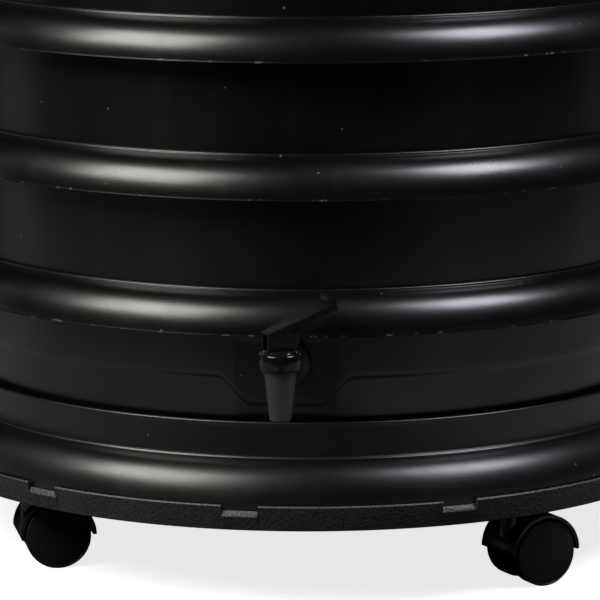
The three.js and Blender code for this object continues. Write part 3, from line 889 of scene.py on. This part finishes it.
def make_pivot():
    stud = revolved([
        (0, 89.5), (7.2, 89.5), (8, 90.3), (8, 100.3), (13.5, 100.3), (14, 100.8),
        (14, 102.3), (13.5, 102.8), (8, 102.8), (8, 149), (7, 150), (0, 150),
    ], SMALL)
    piece(raw_object("pivot_pin", stud), "base", "steel", "pivot_stud")
    made = raw_object("pivot_back_nut", prism(arc(0, 0, 14, 14, 0, 300, 5), 90, 96.7))
    combine(made, [rod(8.3, 85, 99)], "DIFFERENCE")
    bevelled(made, 0.6)
    piece(carried(made, turn(BASE_TURN, "Z")), "base", "steel", "pivot_nut")
    bush = revolved([
        (8.3, 104.1), (8.8, 103.6), (14, 103.6), (14.5, 104.1), (14.5, 107.7), (12, 107.7), (12, 157.5),
        (11.5, 158), (8.8, 158), (8.3, 157.5),
    ], SMALL)
    piece(raw_object("pivot_sleeve", bush), "drum", "natural_plastic", "pivot_bush")
    low, high = corners("glide_ring")
    glide = revolved([
        (248, low.z), (268, low.z), (268, high.z - 0.8),
        (267.2, high.z), (248.8, high.z), (248, high.z - 0.8),
    ], 192)
    piece(raw_object("drum_glide", glide), "base", "natural_plastic", "glide_ring")


def make_sockets():
    for n in range(1, 5):
        node = f"caster_socket_{n}"
        low, high = corners(node)
        middle = (low + high) / 2
        shape = revolved([
            (5.4, low.z + 0.4), (5.8, low.z), (11.4, low.z), (12, low.z + 0.6), (12, low.z + 4.6),
            (8.7, low.z + 4.6), (8.7, high.z - 0.6), (8.1, high.z), (5.8, high.z), (5.4, high.z - 0.4),
        ], 48)
        piece(raw_object(f"stem_socket_{n}", moved(shape, shift(middle.x, middle.y))), "base", "steel", node)


def make_ring_screws():
    """Pan screws in the ring's flange, seen from below."""
    head = revolved([(0, -2.6), (3, -2.6), (4.2, -1.6), (4.5, 0), (0, 0)], 20)
    made = copies_round("pan_screws", head, 8, 294, BASE_TURN + 15, "steel")
    piece(carried(made, shift(z=RING_HIGH.z - 4.5 - 5)), "base", "steel")


# The casters.

def caster_place(n):
    """A caster's stem, its trail towards the axle and the axle's height."""
    stem = sum(corners(f"caster_{n}_stem"), Vector()) / 2
    axle = sum(corners(f"caster_{n}_axle"), Vector()) / 2
    away = math.degrees(math.atan2(axle.y - stem.y, axle.x - stem.x))
    trail = math.hypot(axle.x - stem.x, axle.y - stem.y)
    return shift(stem.x, stem.y) @ turn(away, "Z"), trail, axle.z


def make_caster(n):
    place, trail, axle_z = caster_place(n)
    body, wheels = f"caster_{n}", f"caster_{n}_wheels"
    hood_r, inner_r, wheel_r, half = 29.5, 26.6, 25.18, 22.5

    cover = arc(trail, axle_z, hood_r, hood_r, 1, 179, 48) + arc(trail, axle_z, inner_r, inner_r, 179, 1, 48)
    made = raw_object(f"caster_hood_{n}", moved(prism(cover, -half, half), UPRIGHT))
    web = [*arc(trail, axle_z, 27.1, 27.1, -12, 192, 40), (trail - 7, axle_z - 9), (trail + 7, axle_z - 9)]
    boss = rod(8.8, 34, 58, 0.6, 48)
    combine(made, [moved(prism(web, -8.8, 8.8), UPRIGHT), boss], "UNION")
    at_axle = shift(trail, 0, axle_z) @ ALONG_Y
    combine(made, [rod(5.2, 40, 70), moved(rod(4.3, -30, 30), at_axle)], "DIFFERENCE")
    bevelled(made, 0.7, 3, 50)
    piece(carried(made, place), body, "caster_plastic", f"caster_{n}_hood", crease=40)

    low, high = corners(f"caster_{n}_stem")
    collar = SOCKET_FOOT - GAP
    stem = revolved([
        (0, low.z), (4.4, low.z), (5, low.z + 0.6), (5, collar - 3.6), (8.6, collar - 3.6),
        (9, collar - 3.2), (9, collar - 0.4), (8.6, collar), (5, collar), (5, high.z - 6),
        (4.4, high.z - 5.4), (4.4, high.z - 4.2), (5, high.z - 3.6), (5, high.z - 1.2),
        (3.8, high.z), (0, high.z),
    ], 48)
    piece(carried(raw_object(f"caster_pin_{n}", stem), place), body, "steel", f"caster_{n}_stem")

    hub = place @ shift(trail, 0, axle_z) @ ALONG_Y
    made = raw_object(f"caster_axle_bar_{n}", rod(4, -21.5, 21.5))
    piece(carried(made, hub), wheels, "steel", f"caster_{n}_axle")
    for side, sign in (("a", -1), ("b", 1)):
        face = 6.5
        wheel = revolved([
            (4.3, -face), (9, -face), (9.6, 1 - face), (20.6, 1 - face), (21.4, -face),
            (wheel_r - 2, -face), *arc(wheel_r - 2, 2 - face, 2, 2, -90, 0, 6),
            *arc(wheel_r - 1.2, face - 1.2, 1.2, 1.2, 0, 80, 6),
            (23.6, face - 0.05), (23.4, face - 0.3), (23.2, face - 0.2), (12, face - 0.1), (4.3, face - 0.1),
        ], 96)
        flip = turn(180, "X") if sign < 0 else Matrix.Identity(4)
        made = raw_object(f"caster_wheel_{n}{side}", moved(wheel, shift(z=sign * 16) @ flip))
        piece(carried(made, hub), wheels, "wheel_plastic", f"caster_{n}_wheel_{side}")
        cap = revolved([
            (0, 0.5), (8, 0.45), (14, 0.3), (19, 0.08),
            (22.4, -0.16), (23.1, -0.35), (23.1, -1.2), (0, -1.2),
        ], 96)
        made = raw_object(f"caster_cover_{n}{side}", moved(cap, shift(z=sign * 22.5) @ flip))
        piece(carried(made, hub), wheels, "wheel_plastic")



# Inside and on top.

HINGE = sum(corners("hinge_pin"), Vector()) / 2
AT_HINGE = shift(y=HINGE.y, z=HINGE.z) @ ALONG_X
PIN_BORE = 3.4


def make_grate():
    low, high = corners("drain_grate")
    top, under = high.z, high.z - 5
    made = raw_object("drain_grate_disc", rod(high.x, under, top, 0.8, 192))
    cutters = []
    for i in range(12):
        a = 30 * i + 15
        outer = arc(0, 0, 252, 252, a - 12.5, a + 12.5, 16)
        inner = arc(0, 0, 60, 60, a + 12.5, a - 12.5, 8)
        cutters.append(prism(outer + inner, under - 2, top + 2))
    leg = rod(8, low.z, under + 1, 0.5, 24)
    legs = [moved(leg, turn(SPREAD * i, "Z") @ shift(235)) for i in range(6)]
    combine(made, cutters, "DIFFERENCE")
    combine(made, legs, "UNION")
    piece(made, "drum", "pan_plastic", "drain_grate")
    rings = [
        revolved([(r, under + 0.6), (r + 3, under + 0.6), (r + 2.6, top - 0.5), (r + 0.4, top - 0.5)], 144)
        for r in np.linspace(74, 236, 11)
    ]
    piece(raw_object("grate_rings", together(*rings)), "drum", "pan_plastic")
    bar = box(-1.2, 1.2, -97, 97, under + 0.4, top - 0.7)
    piece(copies_round("grate_bars", bar, 48, 157, 3.75, "pan_plastic"), "drum", "pan_plastic")


def sector(inner, outer, middle, half, low, high):
    points = arc(0, 0, outer, outer, middle - half, middle + half, 10)
    points += arc(0, 0, inner, inner, middle + half, middle - half, 6)
    return prism(points, low, high)


def vent_slots(turned, low, high):
    """Cutters for the vent's slots, turned by an angle in degrees."""
    inner, outer, half = SLOT_SHAPE
    return [sector(inner, outer, SPREAD * i + turned, half, low, high) for i in range(SLOTS)]


def make_lid():
    high = corners("lid")[1]
    lid_r = high.x
    land, vent = 866, high.z
    seat = RIM_TOPS[6] + 0.4
    profile = [
        (RIVET_HOLE, vent), (57, vent), *arc(57, vent - 3, 3, 3, 90, 40, 4), (70, vent - 9),
        (110, vent - 14.6),
        (150, land + 8), (172, land + 1.6), (182, land), (258, land), (270, land - 1.6),
        *arc(284, land - 26, 28, 22, 78, 0, 16), (lid_r, 823), (lid_r - 1, 822), (lid_r - 2, 822),
        (lid_r - WALL, 823), (lid_r - WALL, land - 27),
        *arc(284, land - 27, 24, 19, 0, 78, 12),
        (285.5, land - 8.6), (285.5, seat), (281.7, seat), (281.7, land - 7), (260, land - 3.2),
        (180, land - 3.2), (148, land + 4.8), (66, vent - 12), (56, vent - WALL), (RIVET_HOLE, vent - WALL),
    ]
    made = raw_object("lid_shell", revolved(profile))
    lugs = []
    for side in (-1, 1):
        x0, x1 = sorted((side * 25.5, side * 37))
        lugs.append(box(x0, x1, lid_r - 3.4, HINGE.y, 828, 843.5))
        lugs.append(moved(rod(8, x0, x1), AT_HINGE))
    combine(made, lugs, "UNION")
    bore = moved(rod(PIN_BORE, -60, 60), AT_HINGE)
    combine(made, [bore, *vent_slots(0, vent - 20, vent + 20)], "DIFFERENCE")
    mark_trim(made, lambda p: p.z < 822.2)
    piece(made, "lid", "drum_plastic", "lid")

    outline = [
        (-1.6, -34), (-0.8, -38), (0.8, -38), (1.6, -34), (1.6, 34), (0.8, 38), (-0.8, 38), (-1.6, 34),
    ]
    made = copies_round("lid_ribs", prism(outline, -1, 1.8), 24, 220, 7.5, "drum_plastic")
    piece(carried(made, shift(z=land)), "lid", "drum_plastic")

    reach, rise, y = 52, 32, -225
    path = [(reach * -math.cos(a), y, land + 0.5 + rise * math.sin(a)) for a in np.linspace(0, math.pi, 49)]
    made = raw_object("lid_grip", swept(path, 8, 6, 24))
    piece(made, "lid", "drum_plastic", "lid_handle")
    foot = revolved([(0, 0.1), (12, 0.1), (11.4, 2), (9, 3.4), (0, 3.4)], 48)
    feet = [moved(foot, shift(x, y, land)) for x in (-reach, reach)]
    piece(raw_object("lid_grip_feet", together(*feet)), "lid", "drum_plastic")


def swept(path, half_across, half_up, facets):
    """A flattened tube along a path in a plane of constant y."""
    path = as_array(path)
    count = len(path)
    points = []
    for i, here in enumerate(path):
        ahead = path[min(i + 1, count - 1)] - path[max(i - 1, 0)]
        ahead /= np.linalg.norm(ahead)
        if i in (0, count - 1):
            ahead = np.array([0, 0, 1.0 if i == 0 else -1.0])
        out = np.cross(ahead, [0, 1, 0])
        for k in range(facets):
            a = 2 * math.pi * k / facets
            across = np.array([0, 1, 0]) * half_across * math.sin(a)
            points.append(here + out * half_up * math.cos(a) + across)
    faces = []
    for i in range(0, (count - 1) * facets, facets):
        for k in range(facets):
            after = (k + 1) % facets
            faces.append((i + k, i + after, i + facets + after, i + facets + k))
    faces.append(tuple(range(facets)))
    faces.append(tuple(range(count * facets - 1, (count - 1) * facets - 1, -1)))
    return outward(points, faces)


def make_vent():
    low, high = corners("vent_disc")
    face = low.z + 3.5
    disc = revolved([
        (RIVET_HOLE, low.z), (53.4, low.z), (54, low.z + 0.6), (54, face - 0.8), (53.2, face), (15.6, face),
        (14.8, face + 0.8), (14.2, high.z - 0.8), (13.4, high.z), (9.4, high.z), (9, high.z - 0.4),
        (9, low.z + 5), (RIVET_HOLE, low.z + 5),
    ], 128)
    made = raw_object("vent_shutter", disc)
    combine(made, vent_slots(30, low.z - 5, face + 0.5), "DIFFERENCE")
    piece(made, "vent_disc", "drum_plastic", "vent_disc")
    flute = revolved([
        (0, face + 0.4), (1.5, face + 0.4), (1.3, high.z - 1.1), (0.7, high.z - 0.6), (0, high.z - 0.6),
    ], 12)
    made = copies_round("vent_knob_flutes", flute, 18, 14.2, 0, "drum_plastic")
    piece(made, "vent_disc", "drum_plastic")

    low, high = corners("vent_rivet")
    rivet = revolved([
        (0, low.z), (6.6, low.z), (7, low.z + 0.4), (7, low.z + 5.7), (3, low.z + 5.7), (3, high.z - 2.7),
        (7.5, high.z - 2.7), (7.5, high.z - 1.2), (6, high.z - 0.2), (0, high.z),
    ], 48)
    piece(raw_object("vent_stud", rivet), "lid", "natural_plastic", "vent_rivet")


def make_hinge():
    low = corners("hinge_bracket")[0]
    side = [
        (low.y, 757), (low.y + 5.2, 757), (low.y + 5.2, 788), (low.y + 8.2, 791), (HINGE.y - 1, 791),
        (HINGE.y + 2, 794), (HINGE.y + 2, HINGE.z - 2), (HINGE.y - 3, HINGE.z - 2),
        (HINGE.y - 3, 796), (low.y, 796),
    ]
    made = raw_object("hinge_strap", moved(prism(side, -25, 25), ACROSS))
    combine(made, [moved(rod(8, -25, 25), AT_HINGE)], "UNION")
    combine(made, [moved(rod(PIN_BORE, -60, 60), AT_HINGE)], "DIFFERENCE")
    bevelled(made, 0.6, 2, 40)
    piece(made, "drum", "ring_plastic", "hinge_bracket")
    pin = revolved([
        (0, -39.5), (4.4, -39.5), (5, -38.9), (5, -37.4), (3, -37.4),
        (3, 37.4), (5, 37.4), (5, 38.9), (4.4, 39.5), (0, 39.5),
    ], 48)
    piece(raw_object("hinge_rod", moved(pin, AT_HINGE)), "drum", "steel", "hinge_pin")
    head = revolved([(0, 0), (4.4, 0), (4.2, 1.2), (3, 2.2), (0, 2.6)], 24)
    spots = [shift(x, low.y + 5.2, z) @ ALONG_Y for x in (-17, 17) for z in (763, 781)]
    piece(raw_object("hinge_screws", together(*[moved(head, s) for s in spots])), "drum", "steel")


make_sections()
make_sump()
make_tap_body()
make_tap_fittings()
make_tap_stem()
make_tap_lever()
make_pan()
make_ring()
make_pivot()
make_sockets()
make_ring_screws()
for number in range(1, 5):
    make_caster(number)
make_grate()
make_lid()
make_vent()
make_hinge()


# The studio.

WHITE = (1, 1, 1)


def make_floor():
    finish = Finish("pale floor")
    haze = finish.noise(1.5, 2)
    material = finish.set(
        Base_Color=finish.blend(haze, grey(0.5), grey(0.56)), Roughness=0.8,
        Emission_Color=(1, 1, 1, 1), Emission_Strength=0.8,
    )
    half = 40
    mesh = bpy.data.meshes.new("floor")
    around = [(-half, -half, 0), (half, -half, 0), (half, half, 0), (-half, half, 0)]
    mesh.from_pydata(around, [], [(0, 1, 2, 3)])
    mesh.materials.append(material)
    floor = bpy.data.objects.new("floor", mesh)
    bpy.context.scene.collection.objects.link(floor)
    floor.visible_glossy = False
    floor.visible_diffuse = False


def make_world():
    world = bpy.data.worlds.new("studio")
    world.use_nodes = True
    world.node_tree.nodes["Background"].inputs["Color"].default_value = (1, 1, 1, 1)
    world.node_tree.nodes["Background"].inputs["Strength"].default_value = 1.0
    world.cycles_visibility.glossy = False
    world.cycles_visibility.diffuse = False
    bpy.context.scene.world = world


def make_light(name, width, height, power, colour, place, facing):
    """A rectangle of light."""
    light = bpy.data.lights.new(name, "AREA")
    light.shape = "RECTANGLE"
    light.size = width
    light.size_y = height
    light.energy = power
    light.color = colour
    made = bpy.data.objects.new(name, light)
    made.location = place
    made.rotation_euler = facing
    bpy.context.scene.collection.objects.link(made)
    return made


def make_softbox(name, azimuth, elevation, distance, width, height, power, colour, aim=(0, 0, 0.4)):
    """A soft rectangle that looks at a point of the drum."""
    a, e = math.radians(azimuth), math.radians(elevation)
    away = Vector((math.sin(a) * math.cos(e), -math.cos(a) * math.cos(e), math.sin(e)))
    facing = away.to_track_quat("Z", "Y").to_euler()
    make_light(name, width, height, power, colour, Vector(aim) + away * distance, facing)


def make_bounce(name, azimuth, distance, width, depth, power, colour):
    """A white card on the floor that faces up."""
    a = math.radians(azimuth)
    place = (math.sin(a) * distance, -math.cos(a) * distance, 0.01)
    card = make_light(name, width, depth, power, colour, place, (math.pi, 0, a))
    card.visible_camera = False


def make_camera():
    """Looks down 10.92 degrees from 3.3 degrees right of the tap."""
    yaw, pitch = math.radians(3.3), math.radians(-10.92)
    ahead = Vector((-math.sin(yaw), math.cos(yaw), 0))
    right = Vector((math.cos(yaw), math.sin(yaw), 0))
    data = bpy.data.cameras.new("camera")
    data.lens = 222
    data.sensor_width = 36
    data.clip_end = 100
    camera = bpy.data.objects.new("camera", data)
    camera.location = -ahead * 2.9215 - right * 0.0053 + Vector((0, 0, 0.7403))
    camera.rotation_euler = (math.pi / 2 + pitch, 0, yaw)
    bpy.context.scene.collection.objects.link(camera)
    bpy.context.scene.camera = camera


make_floor()
make_world()
make_softbox("left softbox", -51, 37, 2.2, 1.35, 1.2, 80, (1.0, 0.98, 0.93), (-0.1, -0.28, 0.45))
make_softbox("right softbox", 72, 49, 2.2, 0.95, 0.9, 56, (0.9, 0.91, 1.0), (0.13, -0.26, 0.45))
make_softbox("left side panel", -98, 4, 2.0, 0.7, 1.4, 0.8, WHITE)
make_softbox("right side panel", 104, 4, 2.0, 0.5, 1.4, 0.3, WHITE)
make_softbox("rear left softbox", -160, 45, 3.0, 1.6, 1.6, 50, WHITE)
make_softbox("rear right softbox", 160, 45, 3.0, 1.6, 1.6, 50, WHITE)
make_bounce("left bounce", -62, 0.95, 1.5, 1.1, 1.8, (1.0, 0.97, 0.93))
make_bounce("right bounce", 70, 0.95, 1.5, 1.1, 2.0, (0.93, 0.95, 1.0))
make_bounce("front bounce", 3, 0.85, 0.7, 0.8, 0.22, WHITE)
make_camera()
bpy.context.scene.view_settings.view_transform = "Standard"
